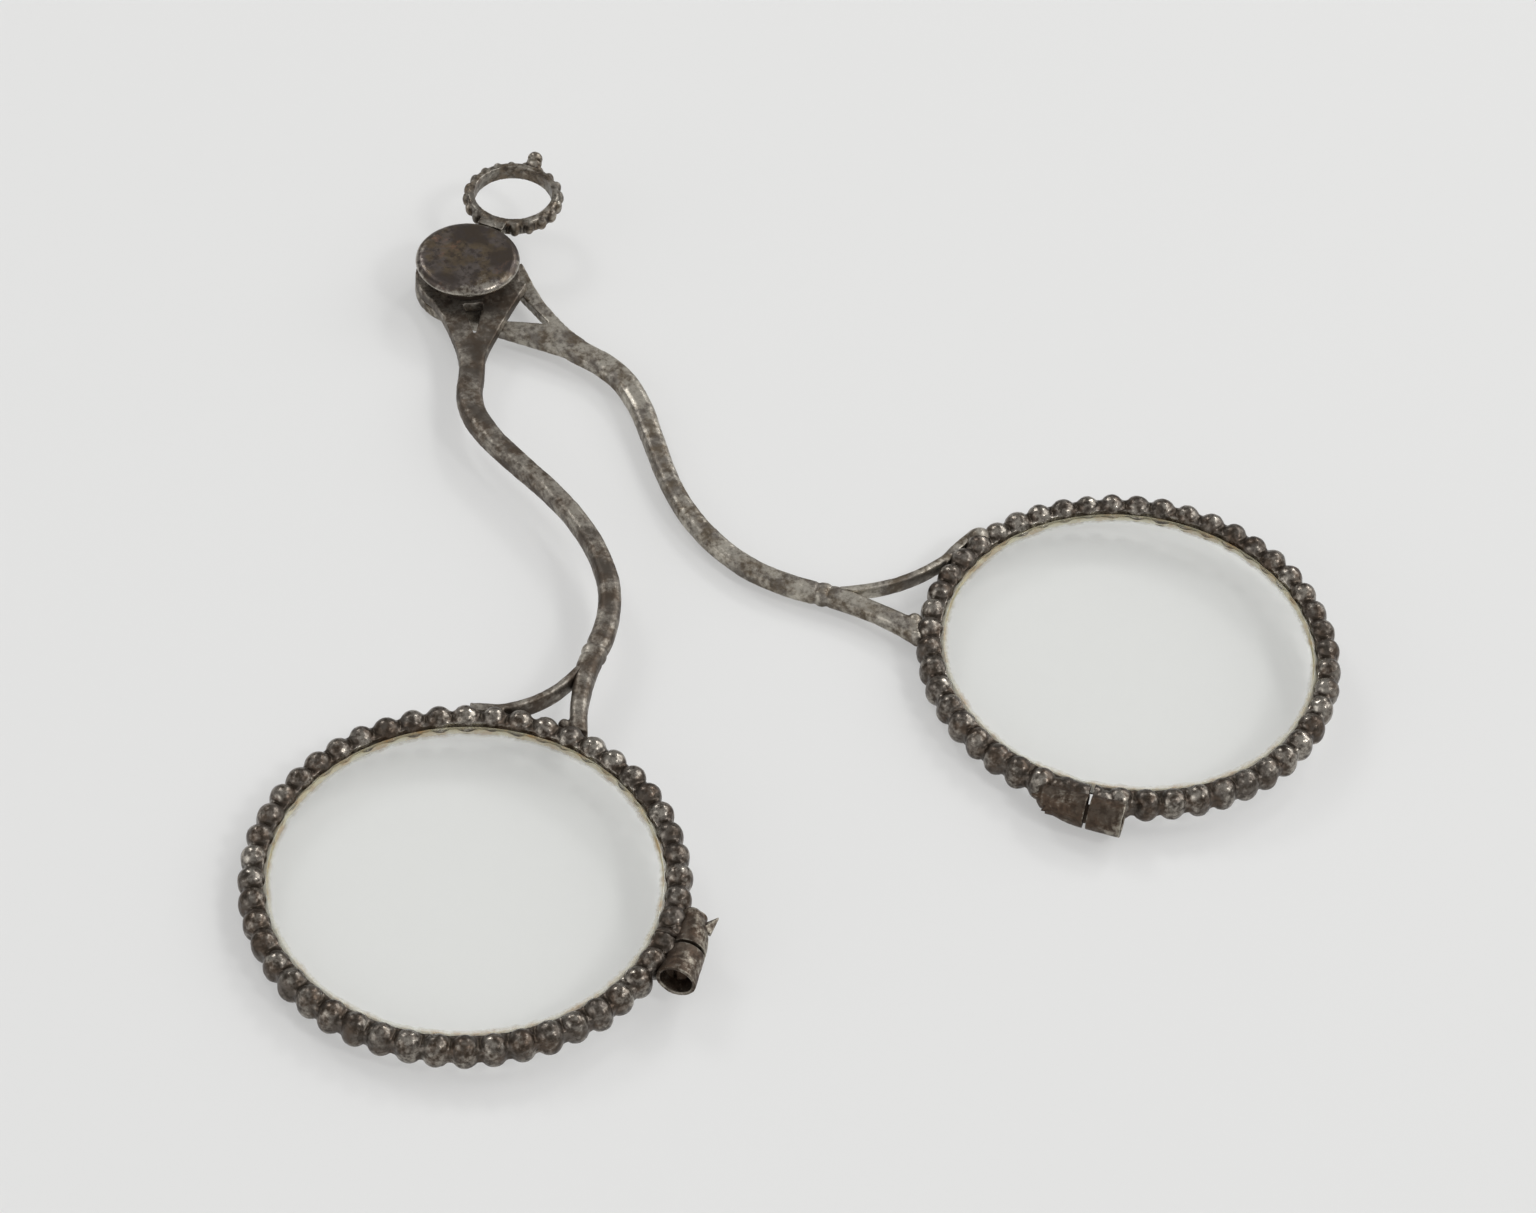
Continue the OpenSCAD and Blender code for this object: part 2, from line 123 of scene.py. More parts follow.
def makeTable():
    half = tableSetup["size"] / 2
    corners = []
    for x, y in ((-half, -half), (half, -half), (half, half), (-half, half)):
        z = tableSetup["height"] + tableSetup["slopeX"] * x + tableSetup["slopeY"] * y
        corners.append((x, y, z))
    mesh = bpy.data.meshes.new("table")
    mesh.from_pydata(corners, [], [(0, 1, 2, 3)])
    table = bpy.data.objects.new("table", mesh)
    bpy.context.scene.collection.objects.link(table)
    material, tree = newMaterial("paintedTableTop")  # matt pale board, as a photographer's table
    paint = addNode(tree, "ShaderNodeBsdfPrincipled", {
        "Base Color": linear(tableSetup["colour"]), "Roughness": tableSetup["roughness"],
        "Specular IOR Level": tableSetup["shine"],
    })
    # part of its white is even, so that the shadows stay as soft as on a light box
    path = addNode(tree, "ShaderNodeLightPath").outputs
    seen = path["Is Camera Ray"]
    for ray in ("Is Glossy Ray", "Is Transmission Ray"):
        seen = addNode(tree, "ShaderNodeMath", {0: seen, 1: path[ray]}, operation="MAXIMUM")
    share = addNode(tree, "ShaderNodeMath", {0: seen, 1: tableSetup["glow"]}, operation="MULTIPLY")
    glow = addNode(tree, "ShaderNodeEmission", {
        "Color": linear(tableSetup["glowColour"]), "Strength": 1.0,
    })
    top = addNode(tree, "ShaderNodeMixShader", {0: share, 1: paint, 2: glow})
    # clear from below, so that the underside of the spectacles can be looked at
    below = addNode(tree, "ShaderNodeNewGeometry").outputs["Backfacing"]
    clear = addNode(tree, "ShaderNodeBsdfTransparent")
    mixed = addNode(tree, "ShaderNodeMixShader", {0: below, 1: top, 2: clear})
    addNode(tree, "ShaderNodeOutputMaterial", {"Surface": mixed})
    mesh.materials.append(material)


def makeLights():
    world = bpy.data.worlds.new("studio")
    bpy.context.scene.world = world
    world.use_nodes = True
    tree = world.node_tree
    tree.nodes.clear()
    # the room behind the table is darker, so that flat tops look darker than sides
    heading = addNode(tree, "ShaderNodeTexCoord").outputs["Generated"]
    behind = addNode(tree, "ShaderNodeSeparateXYZ", {0: heading}).outputs["Y"]
    strength = lightSetup["worldStrength"]
    level = addNode(tree, "ShaderNodeMapRange", {
        "Value": behind, "From Min": lightSetup["backFrom"], "From Max": lightSetup["backTo"],
        "To Min": strength, "To Max": strength * lightSetup["backShare"],
    }, interpolation_type="SMOOTHSTEP")
    light = addNode(tree, "ShaderNodeBackground", {
        "Color": linear(lightSetup["worldColour"]), "Strength": level,
    })
    shown = addNode(tree, "ShaderNodeBackground", {
        "Color": linear(lightSetup["shownColour"]), "Strength": 1.0,
    })
    seen = addNode(tree, "ShaderNodeLightPath").outputs["Is Camera Ray"]
    mixed = addNode(tree, "ShaderNodeMixShader", {0: seen, 1: light, 2: shown})
    addNode(tree, "ShaderNodeOutputWorld", {"Surface": mixed})
    for name, place, size, watts in lightSetup["lamps"]:
        data = bpy.data.lights.new(name, "AREA")
        data.shape = "DISK"
        data.size = size
        data.energy = watts
        lamp = bpy.data.objects.new(name, data)
        bpy.context.scene.collection.objects.link(lamp)
        lamp.location = place
        way = Vector(lightSetup["aim"]) - Vector(place)
        lamp.rotation_euler = way.to_track_quat("-Z", "Y").to_euler()


makeTable()
makeLights()
bpy.context.scene.view_settings.view_transform = "Standard"
print("table and lamps placed")


# Iron finishes. Forged and filed iron under two centuries of handling: a brown-grey patina
# with a dull sheen, paler bare metal where it is rubbed, rust in the hollows.
ironLooks = {
    "handledIron": {  # the left arm and its brace: browner, only here and there rubbed bare
        "dark": "#383028", "patina": "#665f57", "brown": "#5d5145", "bare": "#aaa499",
        "rust": "#6e4e3d", "bareShare": 0.52, "rustShare": 0.22, "edge": 0.06, "cloud": 0.55,
        "mottle": 0.48, "patchy": 0.62, "rough": 0.50, "seed": 3.0,
    },
    "rubbedIron": {  # the right arm: rubbed paler, in patches
        "dark": "#40372e", "patina": "#817b73", "brown": "#706556", "bare": "#bdb7ab",
        "rust": "#735847", "bareShare": 0.60, "rustShare": 0.12, "edge": 0.06, "cloud": 0.30,
        "mottle": 0.56, "patchy": 0.60, "rough": 0.47, "seed": 11.0,
    },
    "beadedIron": {  # the rims: dark in the grooves, the bead tops polished by the hand
        "dark": "#30281f", "patina": "#645d56", "brown": "#584b40", "bare": "#aca69c",
        "rust": "#6f4b38", "bareShare": 0.42, "rustShare": 0.24, "edge": 0.40, "cloud": 0.20,
        "mottle": 0.78, "patchy": 0.50, "rough": 0.33, "seed": 23.0,
    },
    "hubIron": {  # the hub's cap: smooth brown patina, bare along its rounded edge
        "dark": "#3d3531", "patina": "#665e59", "brown": "#685b49", "bare": "#b0aaa0",
        "rust": "#7c563d", "bareShare": 0.20, "rustShare": 0.50, "edge": 1.50, "cloud": 0.75,
        "mottle": 0.78, "patchy": 0.50, "rough": 0.36, "seed": 37.0,
    },
    "ringIron": {  # the suspension ring: brown, its ribs rubbed
        "dark": "#38302a", "patina": "#827d74", "brown": "#746859", "bare": "#bab4a9",
        "rust": "#8c5431", "bareShare": 0.34, "rustShare": 0.34, "edge": 0.35, "cloud": 0.30,
        "mottle": 0.78, "patchy": 0.50, "rough": 0.40, "seed": 41.0,
    },
    "barrelIron": {  # rolled sheet iron of the closing barrels, rustier
        "dark": "#34291f", "patina": "#5d5349", "brown": "#554538", "bare": "#a8a295",
        "rust": "#70432e", "bareShare": 0.42, "rustShare": 0.34, "edge": 0.50, "cloud": 0.30,
        "mottle": 0.78, "patchy": 0.50, "rough": 0.50, "seed": 53.0,
    },
}
ironPatterns = {  # size in mm, detail, roughness of each noise
    "patch": (3.4, 3, 0.55), "mottle": (0.66, 4, 0.65), "grain": (0.26, 3, 0.6),
    "rustSpot": (3.6, 5, 0.7), "warm": (1.9, 4, 0.6),
}
ironLevels = {  # where on its noise each share starts and is full
    "grain": (0.18, 0.52), "dark": (0.58, 0.36), "cloud": (0.52, 0.38), "warm": (0.42, 0.58),
    "hollow": (0.05, 0.9),
    "bareMiddle": 0.70, "bareSpread": 0.34, "bareFrom": -0.06, "bareTo": 0.13, "edgeLift": 0.16,
    "rustMiddle": 0.74, "rustSpread": 0.30, "rustTo": 0.16, "rustMost": 0.7,
}
ironShine = {
    "metal": 0.75, "bareMetal": 0.20, "rustMetal": -0.8, "bareRough": -0.12, "grainRough": 0.25,
    "rustRough": 0.35, "mottleRelief": 0.6, "grainRelief": 0.4, "reliefStrength": 0.4,
    "reliefDepth": 0.04,  # in mm
}


def makeIron(name, look):
    material, tree = newMaterial(name)
    place = addNode(tree, "ShaderNodeTexCoord").outputs["Object"]
    wear = addNode(tree, "ShaderNodeAttribute", attribute_name="edgeWear").outputs["Fac"]
    noise = {}
    for k, (pattern, (size, detail, roughness)) in enumerate(ironPatterns.items()):
        noise[pattern] = addNode(tree, "ShaderNodeTexNoise", {
            "Vector": place, "Scale": 1 / (size * mm), "Detail": detail, "Roughness": roughness,
            "W": look["seed"] + k,
        }, noise_dimensions="4D")

    # bare where patch and mottle meet, more on rubbed edges, none in hollows
    patches = addNode(tree, "ShaderNodeMath", {
        0: noise["patch"], 1: look["patchy"],
    }, operation="MULTIPLY")
    height = addNode(tree, "ShaderNodeMath", {
        0: noise["mottle"], 1: 1 - look["patchy"], 2: patches,
    }, operation="MULTIPLY_ADD")
    height = addNode(tree, "ShaderNodeMath", {
        0: wear, 1: look["edge"] * ironLevels["edgeLift"], 2: height,
    }, operation="MULTIPLY_ADD")
    inward = addNode(tree, "ShaderNodeMath", {0: wear, 1: -1.0}, operation="MULTIPLY")
    bareEdge = ironLevels["bareMiddle"] - ironLevels["bareSpread"] * look["bareShare"]
    rustEdge = ironLevels["rustMiddle"] - ironLevels["rustSpread"] * look["rustShare"]
    ramps = {
        "bare": (height, bareEdge + ironLevels["bareFrom"], bareEdge + ironLevels["bareTo"]),
        "grain": (noise["grain"], *ironLevels["grain"]),
        "hollow": (inward, *ironLevels["hollow"]),
        "dark": (noise["mottle"], *ironLevels["dark"]),
        "cloud": (noise["patch"], *ironLevels["cloud"]),
        "rust": (noise["rustSpot"], rustEdge, rustEdge + ironLevels["rustTo"]),
        "warm": (noise["warm"], *ironLevels["warm"]),
    }
    share = {}
    for key, (value, low, high) in ramps.items():
        share[key] = addNode(tree, "ShaderNodeMapRange", {
            "Value": value, "From Min": low, "From Max": high,
        }, interpolation_type="SMOOTHSTEP")
    for key, weight in (("bare", share["grain"]), ("dark", look["mottle"]),
                        ("cloud", look["cloud"]), ("rust", ironLevels["rustMost"])):
        share[key] = addNode(tree, "ShaderNodeMath", {0: share[key], 1: weight}, operation="MULTIPLY")
    for key in ("hollow", "cloud"):
        share["dark"] = addNode(tree, "ShaderNodeMath", {
            0: share["dark"], 1: share[key],
        }, operation="MAXIMUM")

    colour = linear(look["patina"])
    for key, tone in (("warm", "brown"), ("dark", "dark"), ("bare", "bare"), ("rust", "rust")):
        colour = addNode(tree, "ShaderNodeMix", {
            "Factor": share[key], 6: colour, 7: linear(look[tone]),
        }, data_type="RGBA").outputs[2]

    metallic = addNode(tree, "ShaderNodeMath", {
        0: share["bare"], 1: ironShine["bareMetal"], 2: ironShine["metal"],
    }, operation="MULTIPLY_ADD")
    unrusted = addNode(tree, "ShaderNodeMath", {
        0: share["rust"], 1: ironShine["rustMetal"], 2: 1.0,
    }, operation="MULTIPLY_ADD")
    metallic = addNode(tree, "ShaderNodeMath", {0: metallic, 1: unrusted}, operation="MULTIPLY")
    gloss = addNode(tree, "ShaderNodeMath", {
        0: share["bare"], 1: ironShine["bareRough"], 2: look["rough"],
    }, operation="MULTIPLY_ADD")
    uneven = addNode(tree, "ShaderNodeMath", {
        0: noise["grain"], 1: noiseMiddle,
    }, operation="SUBTRACT")
    gloss = addNode(tree, "ShaderNodeMath", {
        0: uneven, 1: ironShine["grainRough"], 2: gloss,
    }, operation="MULTIPLY_ADD")
    gloss = addNode(tree, "ShaderNodeMath", {
        0: share["rust"], 1: ironShine["rustRough"], 2: gloss,
    }, operation="MULTIPLY_ADD", use_clamp=True)

    fine = addNode(tree, "ShaderNodeMath", {
        0: noise["grain"], 1: ironShine["grainRelief"],
    }, operation="MULTIPLY")
    relief = addNode(tree, "ShaderNodeMath", {
        0: noise["mottle"], 1: ironShine["mottleRelief"], 2: fine,
    }, operation="MULTIPLY_ADD")
    bump = addNode(tree, "ShaderNodeBump", {
        "Strength": ironShine["reliefStrength"], "Distance": ironShine["reliefDepth"] * mm,
        "Height": relief,
    })
    shader = addNode(tree, "ShaderNodeBsdfPrincipled", {
        "Base Color": colour, "Metallic": metallic, "Roughness": gloss, "Normal": bump,
    })
    addNode(tree, "ShaderNodeOutputMaterial", {"Surface": shader})
    return material


iron = {name: makeIron(name, look) for name, look in ironLooks.items()}
print("iron finishes made:", ", ".join(iron))


# Lens glass, and the grime between lens and rim, with a creamy band of painted sheen along the glass
# edge.
glassLook = {
    "tint": "#fefffd", "passed": "#ffffff", "roughness": 0.01, "ior": 1.52,
    # the creamy colour is partly putty and partly painted sheen of the glass edge and its reflection;
    # the brown colour is grime
    "grime": "#a98a5c", "puttyAndEdgeSheen": "#c8c2a0", "grimeAndSheenRough": 0.8,
    "grimeAndSheenNoise": (2.2, 5, 0.7),  # size in mm, detail, roughness
    "grimeAndSheenTone": (0.45, 0.65), "grimeAndSheenReach": 0.9, "grimeAndSheenSpan": (1.15, 1.6), "grimeAndSheenMost": 0.75,
}


def makeGlass():
    # clear, faintly green; along its edge brown grime and a creamy band that is partly putty and partly
    # painted sheen for the glass edge and its reflection
    material, tree = newMaterial("oldCrownGlass")
    place = addNode(tree, "ShaderNodeTexCoord").outputs["Object"]
    edge = addNode(tree, "ShaderNodeAttribute", attribute_name="lensEdge").outputs["Fac"]
    glass = addNode(tree, "ShaderNodeBsdfPrincipled", {
        "Base Color": linear(glassLook["tint"]), "Roughness": glassLook["roughness"],
        "IOR": glassLook["ior"], "Transmission Weight": 1.0,
    })
    clear = addNode(tree, "ShaderNodeBsdfTransparent", {"Color": linear(glassLook["passed"])})
    path = addNode(tree, "ShaderNodeLightPath").outputs
    passing = addNode(tree, "ShaderNodeMath", {
        0: path["Is Shadow Ray"], 1: path["Is Diffuse Ray"],
    }, operation="MAXIMUM")
    lit = addNode(tree, "ShaderNodeMixShader", {0: passing, 1: glass, 2: clear})
    size, detail, roughness = glassLook["grimeAndSheenNoise"]
    grimeAndSheenPattern = addNode(tree, "ShaderNodeTexNoise", {
        "Vector": place, "Scale": 1 / (size * mm), "Detail": detail, "Roughness": roughness,
    })
    toneFrom, toneTo = glassLook["grimeAndSheenTone"]
    tone = addNode(tree, "ShaderNodeMapRange", {
        "Value": grimeAndSheenPattern, "From Min": toneFrom, "From Max": toneTo,
    })
    # creamy painted edge sheen and putty, mixed with brown grime by a noise
    colour = addNode(tree, "ShaderNodeMix", {
        "Factor": tone, 6: linear(glassLook["puttyAndEdgeSheen"]), 7: linear(glassLook["grime"]),
    }, data_type="RGBA").outputs[2]
    grimeAndSheenFilm = addNode(tree, "ShaderNodeBsdfPrincipled", {
        "Base Color": colour, "Roughness": glassLook["grimeAndSheenRough"],
    })
    reach = addNode(tree, "ShaderNodeMath", {
        0: grimeAndSheenPattern, 1: glassLook["grimeAndSheenReach"], 2: edge,
    }, operation="MULTIPLY_ADD")
    spanFrom, spanTo = glassLook["grimeAndSheenSpan"]
    share = addNode(tree, "ShaderNodeMapRange", {
        "Value": reach, "From Min": spanFrom, "From Max": spanTo, "To Max": glassLook["grimeAndSheenMost"],
    })
    mixed = addNode(tree, "ShaderNodeMixShader", {0: share, 1: lit, 2: grimeAndSheenFilm})
    addNode(tree, "ShaderNodeOutputMaterial", {"Surface": mixed})
    return material


glass = makeGlass()
print("lens glass made")


# Shared shaping steps.
def newPiece(name, work):
    mesh = bpy.data.meshes.new(name)
    work.to_mesh(mesh)
    work.free()
    piece = bpy.data.objects.new(name, mesh)
    bpy.context.scene.collection.objects.link(piece)
    return piece


def copyOf(nodeName, name):
    work = bmesh.new()
    work.from_mesh(cadNodes[nodeName].data)
    bmesh.ops.remove_doubles(work, verts=work.verts, dist=samePoint["copied"])
    return newPiece(name, work)


def lathe(name, profile, segments):
    # closed profile of (radius, height) in mm, turned about Z
    work = bmesh.new()
    rings = []
    for k in range(segments):
        a = 2 * math.pi * k / segments
        rings.append([
            work.verts.new((r * math.cos(a) * mm, r * math.sin(a) * mm, z * mm)) for r, z in profile
        ])
    for k in range(segments):
        here, there = rings[k], rings[(k + 1) % segments]
        for i in range(len(profile)):
            j = (i + 1) % len(profile)
            work.faces.new((here[i], there[i], there[j], here[j]))
    bmesh.ops.remove_doubles(work, verts=work.verts, dist=samePoint["turned"])
    bmesh.ops.recalc_face_normals(work, faces=work.faces)
    return newPiece(name, work)


def bandProfile(size):
    # section of a band, flat inside, its outer edges rounded
    half, r = size["half"], size["round"]
    bend = [
        (size["outer"] - r + r * math.sin(a), half - r + r * math.cos(a)) for a in size["roundAt"]
    ]
    mirrored = [(x, -z) for x, z in reversed(bend)]
    return [(size["inner"], -half), (size["inner"], half)] + bend + mirrored


def makeBox(name, middle, size):
    work = bmesh.new()
    place = Matrix.Translation(Vector(middle) * mm) @ Matrix.Diagonal((*(v * mm for v in size), 1))
    bmesh.ops.create_cube(work, size=1, matrix=place)
    return newPiece(name, work)


def makePrism(name, outline, low, high):
    work = bmesh.new()
    face = work.faces.new([work.verts.new((x * mm, y * mm, low * mm)) for x, y in outline])
    raised = bmesh.ops.extrude_face_region(work, geom=[face])["geom"]
    points = [v for v in raised if isinstance(v, bmesh.types.BMVert)]
    bmesh.ops.translate(work, verts=points, vec=(0, 0, (high - low) * mm))
    bmesh.ops.recalc_face_normals(work, faces=work.faces)
    return newPiece(name, work)


blobShape = {"segments": 20, "rings": 12}


def addBlob(piece, middle, size):
    # a lump of solder or a hammered end, joined to the piece before it is forged
    work = bmesh.new()
    work.from_mesh(piece.data)
    bmesh.ops.create_uvsphere(
        work, u_segments=blobShape["segments"], v_segments=blobShape["rings"], radius=mm,
        matrix=Matrix.Translation(middle) @ Matrix.Diagonal((*size, 1)))
    work.to_mesh(piece.data)
    work.free()


def newTree(name, sockets):
    tree = bpy.data.node_groups.new(name, "GeometryNodeTree")
    tree.interface.new_socket("Geometry", in_out="INPUT", socket_type="NodeSocketGeometry")
    for label, kind, value in sockets:
        made = tree.interface.new_socket(label, in_out="INPUT", socket_type="NodeSocket" + kind)
        if value is not None:
            made.default_value = value
    tree.interface.new_socket("Geometry", in_out="OUTPUT", socket_type="NodeSocketGeometry")
    return tree, addNode(tree, "NodeGroupInput").outputs


def addTree(piece, tree, values):
    step = piece.modifiers.new(tree.name, "NODES")
    step.node_group = tree
    for item in tree.interface.items_tree:
        if item.in_out == "INPUT" and item.name in values:
            step[item.identifier] = values[item.name]


def settle(piece):
    # the result of the live modifiers becomes a plain mesh
    seen = piece.evaluated_get(bpy.context.evaluated_depsgraph_get())
    mesh = bpy.data.meshes.new_from_object(seen)
    piece.modifiers.clear()
    piece.data = mesh
    mesh.name = piece.name


# Hammer waves, pits and the map of rubbed edges and hollows, on a finely meshed piece.
skinNoise = {"waveDetail": 1.5, "pitDetail": 2.0, "pitFrom": 0.30, "pitTo": 0.48}


def makeForgedSkin():
    tree, given = newTree("forgedSkin", [
        ("Wave Size", "Float", 0.003), ("Wave Depth", "Float", 0.0001),
        ("Pit Size", "Float", 0.0006), ("Pit Depth", "Float", 0.00003),
        ("Seed", "Float", 0.0), ("Wear Spread", "Int", 10), ("Wear Depth", "Float", 0.00006),
        ("Finish", "Material", None),
    ])
    place = addNode(tree, "GeometryNodeInputPosition")
    normal = addNode(tree, "GeometryNodeInputNormal")
    noise = {}
    for pattern, detail in (("Wave", skinNoise["waveDetail"]), ("Pit", skinNoise["pitDetail"])):
        scale = addNode(tree, "ShaderNodeMath", {
            0: 1.0, 1: given[pattern + " Size"],
        }, operation="DIVIDE")
        noise[pattern] = addNode(tree, "ShaderNodeTexNoise", {
            "Vector": place, "W": given["Seed"], "Scale": scale, "Detail": detail,
        }, noise_dimensions="4D")
    waves = addNode(tree, "ShaderNodeMath", {
        0: noise["Wave"], 1: noiseMiddle,
    }, operation="SUBTRACT")
    waves = addNode(tree, "ShaderNodeMath", {0: waves, 1: given["Wave Depth"]}, operation="MULTIPLY")
    pits = addNode(tree, "ShaderNodeMapRange", {
        "Value": noise["Pit"], "From Min": skinNoise["pitFrom"], "From Max": skinNoise["pitTo"],
        "To Min": -1.0, "To Max": 0.0,
    })
    push = addNode(tree, "ShaderNodeMath", {
        0: pits, 1: given["Pit Depth"], 2: waves,
    }, operation="MULTIPLY_ADD")
    offset = addNode(tree, "ShaderNodeVectorMath", {0: normal, "Scale": push}, operation="SCALE")
    moved = addNode(tree, "GeometryNodeSetPosition", {
        "Geometry": given["Geometry"], "Offset": offset,
    })

    around = addNode(tree, "GeometryNodeBlurAttribute", {
        "Value": place, "Iterations": given["Wear Spread"],
    }, data_type="FLOAT_VECTOR").outputs["Value"]
    bulge = addNode(tree, "ShaderNodeVectorMath", {0: place, 1: around}, operation="SUBTRACT")
    bulge = addNode(tree, "ShaderNodeVectorMath", {
        0: bulge, 1: normal,
    }, operation="DOT_PRODUCT").outputs["Value"]
    wear = addNode(tree, "ShaderNodeMath", {0: bulge, 1: given["Wear Depth"]}, operation="DIVIDE")
    stored = addNode(tree, "GeometryNodeStoreNamedAttribute", {
        "Geometry": moved, "Name": "edgeWear", "Value": wear,
    }, data_type="FLOAT", domain="POINT")
    smooth = addNode(tree, "GeometryNodeSetShadeSmooth", {"Geometry": stored})
    done = addNode(tree, "GeometryNodeSetMaterial", {
        "Geometry": smooth, "Material": given["Finish"],
    })
    addNode(tree, "NodeGroupOutput", {0: done})
    return tree


forgedSkin = makeForgedSkin()
forging = {  # what a piece doesn't set itself; voxel, sizes and depths in mm
    "voxel": 0.14, "smoothing": 6, "softness": 0.5, "waveSize": 3.0, "waveDepth": 0.16,
    "pitSize": 0.7, "pitDepth": 0.035, "wearSpread": 10, "wearDepth": 0.05,
}


def forge(piece, finish, changes, cutter=None):
    look = {**forging, **changes}
    remesh = piece.modifiers.new("remesh", "REMESH")
    remesh.mode = "VOXEL"
    remesh.voxel_size = look["voxel"] * mm
    soften = piece.modifiers.new("soften", "SMOOTH")
    soften.factor = look["softness"]
    soften.iterations = look["smoothing"]
    if cutter:
        cut = piece.modifiers.new("cut", "BOOLEAN")
        cut.operation = "DIFFERENCE"
        cut.solver = "MANIFOLD"
        cut.object = cutter
    addTree(piece, forgedSkin, {
        "Wave Size": look["waveSize"] * mm, "Wave Depth": look["waveDepth"] * mm,
        "Pit Size": look["pitSize"] * mm, "Pit Depth": look["pitDepth"] * mm,
        "Seed": ironLooks[finish]["seed"], "Wear Spread": look["wearSpread"],
        "Wear Depth": look["wearDepth"] * mm, "Finish": iron[finish],
    })
    settle(piece)
    if cutter:
        bpy.data.objects.remove(cutter)


def dress(piece, body, slot, *nodeNames):
    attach(piece, body)
    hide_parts(*nodeNames)
    print("made", piece.name, len(piece.data.polygons), "faces")


# Places of the two halves: the left one is the right one turned over.
openPose = {"halfAngle": 25.9, "armLength": 88.8, "turnedHeight": 4.35, "rimMiddle": 0.175}
rightPlace = Matrix.Rotation(math.radians(openPose["halfAngle"]), 4, "Z")
lifted = Matrix.Translation((0, 0, openPose["turnedHeight"] * mm))
leftPlace = lifted @ Matrix.Rotation(math.pi, 4, "Y") @ rightPlace
atRim = Matrix.Translation((0, -openPose["armLength"] * mm, openPose["rimMiddle"] * mm))
halves = {
    "left": {"body": "left_half", "rimPlace": leftPlace @ atRim},
    "right": {"body": "right_half", "rimPlace": rightPlace @ atRim},
}


def onRim(angle, radius, height):
    # a point in a rim's own plan, in metres, from its angle past the arm, radius and height in mm
    a = math.radians(90 + angle)
    return Vector((radius * math.cos(a) * mm, radius * math.sin(a) * mm, height * mm))


# Rows of beads round the rims, and of ribs round the ring.
beadShape = {
    "segments": 20, "rings": 14, "stretchOver": 0.5,  # in mm
    "tilt": 0.12, "turn": 3.0, "smallest": (0.94, 0.94, 0.95), "largest": (1.04, 1.04, 1.0),
}


def makeBeadRow():
    tree, given = newTree("beadRow", [
        ("Beads", "Int", 48), ("Ring Radius", "Float", 0.02), ("Bead Radius", "Float", 0.0013),
        ("Bead Stretch", "Float", 0.0005), ("Seed", "Int", 1),
    ])
    ring = addNode(tree, "GeometryNodeMeshCircle", {
        "Vertices": given["Beads"], "Radius": given["Ring Radius"],
    })
    turned = addNode(tree, "GeometryNodeTransform", {
        "Geometry": ring, "Rotation": (0, 0, math.pi / 2),
    })
    ball = addNode(tree, "GeometryNodeMeshUVSphere", {
        "Segments": beadShape["segments"], "Rings": beadShape["rings"],
        "Radius": given["Bead Radius"],
    })
    # each bead is drawn out upwards and downwards into a short bar with round ends
    place = addNode(tree, "GeometryNodeInputPosition")
    height = addNode(tree, "ShaderNodeSeparateXYZ", {0: place}).outputs["Z"]
    half = addNode(tree, "ShaderNodeMath", {
        0: height, 1: beadShape["stretchOver"] * mm,
    }, operation="DIVIDE")
    half = addNode(tree, "ShaderNodeMath", {0: half}, operation="TANH")
    lift = addNode(tree, "ShaderNodeMath", {0: half, 1: given["Bead Stretch"]}, operation="MULTIPLY")
    lift = addNode(tree, "ShaderNodeCombineXYZ", {"Z": lift})
    bead = addNode(tree, "GeometryNodeSetPosition", {"Geometry": ball, "Offset": lift})
    tilt, turn = beadShape["tilt"], beadShape["turn"]
    draws = {}
    for name, least, most in (
        ("Rotation", (-tilt, -tilt, -turn), (tilt, tilt, turn)),
        ("Scale", beadShape["smallest"], beadShape["largest"]),
    ):
        draws[name] = addNode(tree, "FunctionNodeRandomValue", {
            "Min": least, "Max": most, "Seed": given["Seed"],
        }, data_type="FLOAT_VECTOR").outputs["Value"]
    row = addNode(tree, "GeometryNodeInstanceOnPoints", {
        "Points": turned, "Instance": bead, **draws,
    })
    real = addNode(tree, "GeometryNodeRealizeInstances", {"Geometry": row})
    joined = addNode(tree, "GeometryNodeJoinGeometry", {"Geometry": given["Geometry"]})
    tree.links.new(real.outputs[0], joined.inputs[0])
    done = addNode(tree, "GeometryNodeSetMaterial", {
        "Geometry": joined, "Material": iron["beadedIron"],
    })
    addNode(tree, "NodeGroupOutput", {0: done})
    return tree


beadRow = makeBeadRow()


def addBeads(piece, size, seed):
    addTree(piece, beadRow, {
        "Beads": size["beads"], "Ring Radius": size["beadRing"] * mm,
        "Bead Radius": size["beadRadius"] * mm, "Bead Stretch": size["beadStretch"] * mm,
        "Seed": seed,
    })


